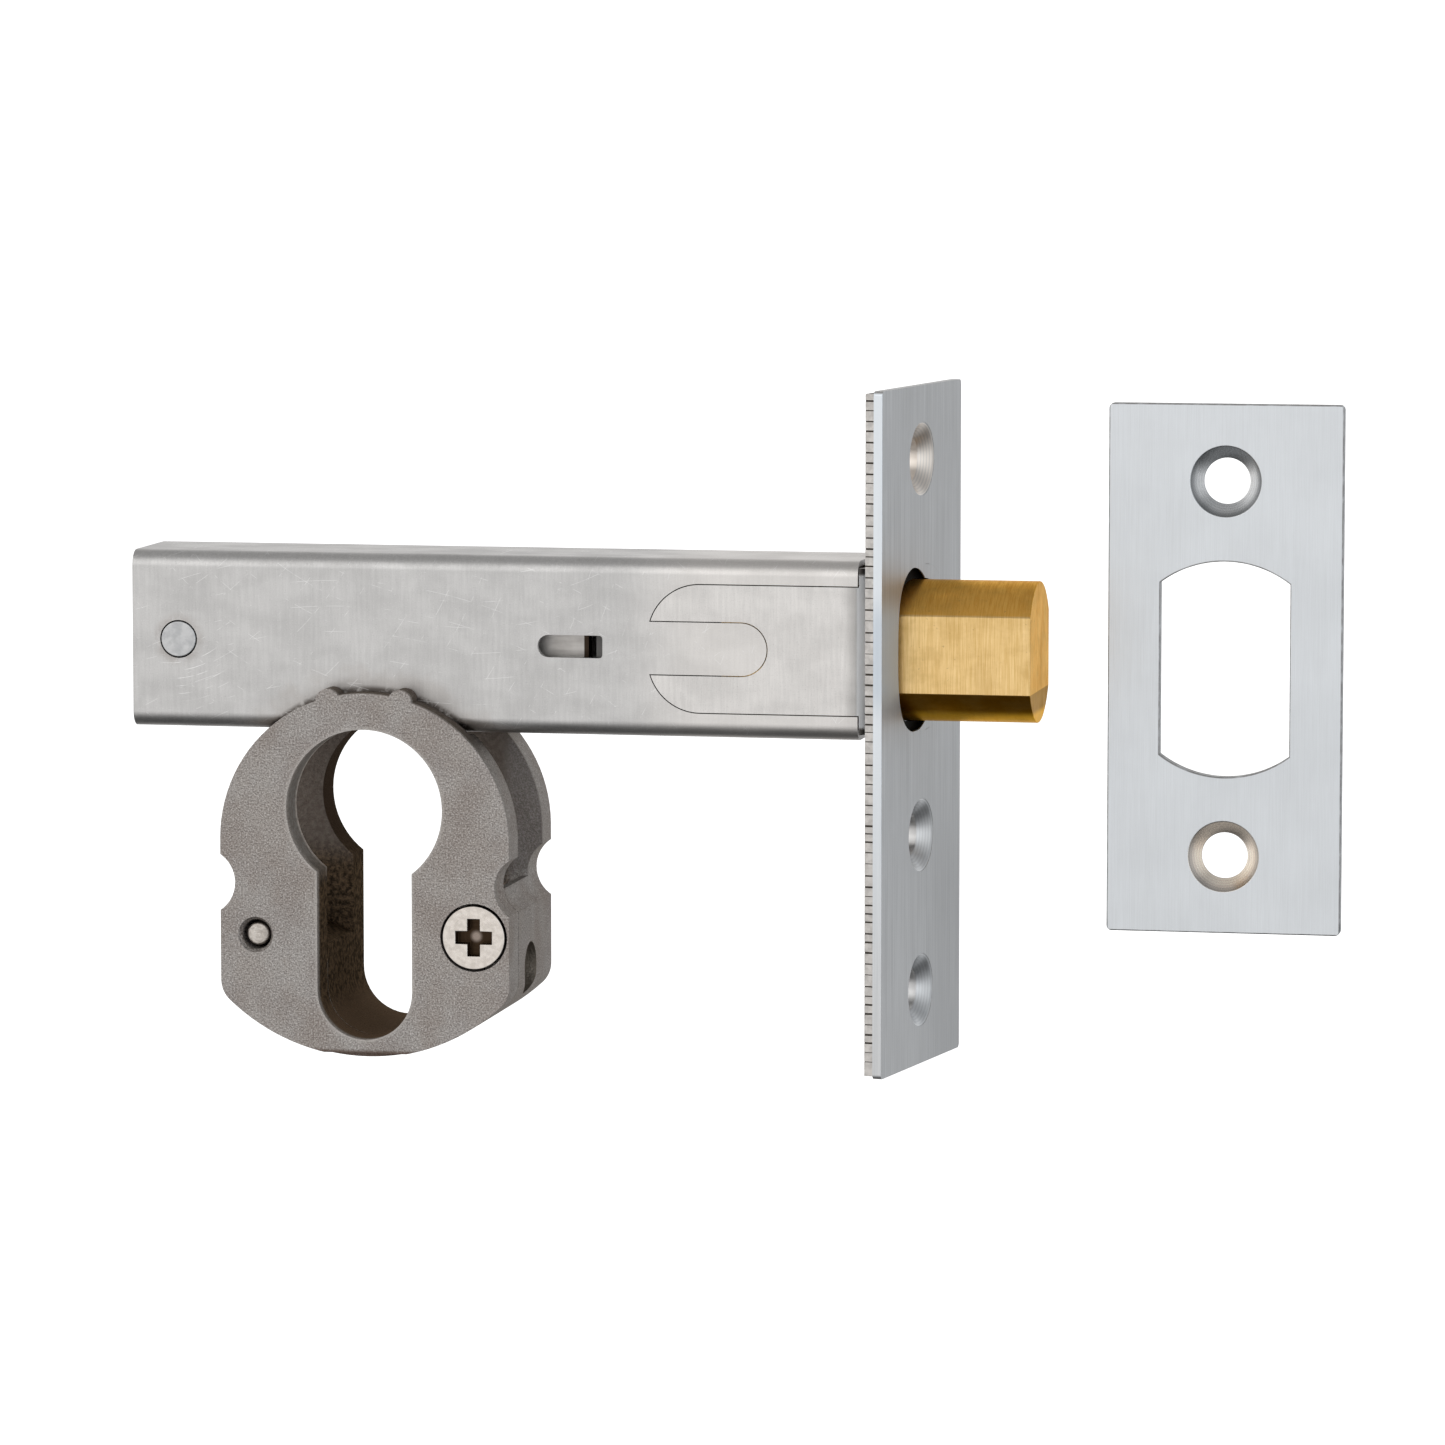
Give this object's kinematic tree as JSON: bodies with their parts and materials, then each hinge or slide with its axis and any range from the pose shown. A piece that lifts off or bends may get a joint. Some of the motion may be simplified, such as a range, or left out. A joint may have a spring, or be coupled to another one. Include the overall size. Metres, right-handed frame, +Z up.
{
  "type": "euro profile mortice deadbolt",
  "caption": "Mortice deadbolt with a slim case, a euro profile cylinder housing, a swivelling forend, a brass bolt and a loose strike plate.",
  "frame": {"origin": "on the case's centre line, at the forend's outer face when it stands square to the case", "axes": "+X the way the bolt throws, +Z up, -Y the side with the housing screw's head"},
  "size_m": [0.1286, 0.0248, 0.0723],
  "materials": {
    "case_steel": "satin zinc-plated sheet, lightly scratched",
    "bracket_steel": "satin plated sheet",
    "rivet_steel": "plated, lightly peened",
    "inner_steel": "plain mill-finish steel",
    "hardened_steel": "ground hardened steel",
    "spring_steel": "spring wire",
    "outer_forend_satin": "satin brushed stainless, grain along its length",
    "inner_forend_steel": "plated sheet with sheared edges",
    "bolt_brass": "satin machined brass",
    "housing_zinc": "grainy blasted zinc die casting",
    "screw_nickel": "nickel plated",
    "strike_satin": "satin brushed, grain along its length"
  },
  "bodies": {
    "lock_case": {"case_shell": "case_steel", "front_bracket": "bracket_steel", "rear_rivet": "rivet_steel", "lever_washer": "inner_steel", "spacer_bush": "inner_steel", "housing_front": "housing_zinc", "housing_rear": "housing_zinc", "housing_screw": "screw_nickel", "housing_dowel": "screw_nickel", "upper_forend_pin": "inner_steel", "lower_forend_pin": "inner_steel"},
    "forend": {"outer_forend": "outer_forend_satin", "inner_forend": "inner_forend_steel"},
    "bolt": {"bolt_head": "bolt_brass", "lower_anti_saw_roller": "hardened_steel", "upper_anti_saw_roller": "hardened_steel", "bolt_carrier": "inner_steel", "bolt_tail": "inner_steel", "front_head_pin": "inner_steel", "rear_head_pin": "inner_steel", "front_tail_rivet": "inner_steel", "rear_tail_rivet": "inner_steel", "stump_pin": "inner_steel"},
    "lever": {"locking_lever": "inner_steel", "lever_spring": "spring_steel"},
    "strike": {"strike_plate": "strike_satin"}
  },
  "joints": [
    {"name": "bolt_slide", "type": "slide", "parent": "lock_case", "child": "bolt", "axis": [1, 0, 0], "range_m": [-0.0125, 0]},
    {"name": "lever_pivot", "type": "hinge", "parent": "lock_case", "child": "lever", "pos_m": [-0.0798, 0, 0], "axis": [0, -1, 0], "range_deg": [0, 4]},
    {"name": "forend_swivel", "type": "hinge", "parent": "lock_case", "child": "forend", "pos_m": [-0.0034, 0, 0], "axis": [0, 0, 1], "range_deg": [0, 19]},
    {"name": "strike_turn", "type": "hinge", "parent": "lock_case", "child": "strike", "pos_m": [0.03122, 0, 0], "axis": [0, 0, 1], "range_deg": [-90, 0]}
  ],
  "couplings": [
    {"joint": "lever_pivot", "follows": "bolt_slide", "rad_per_m": -5.5851}
  ]
}
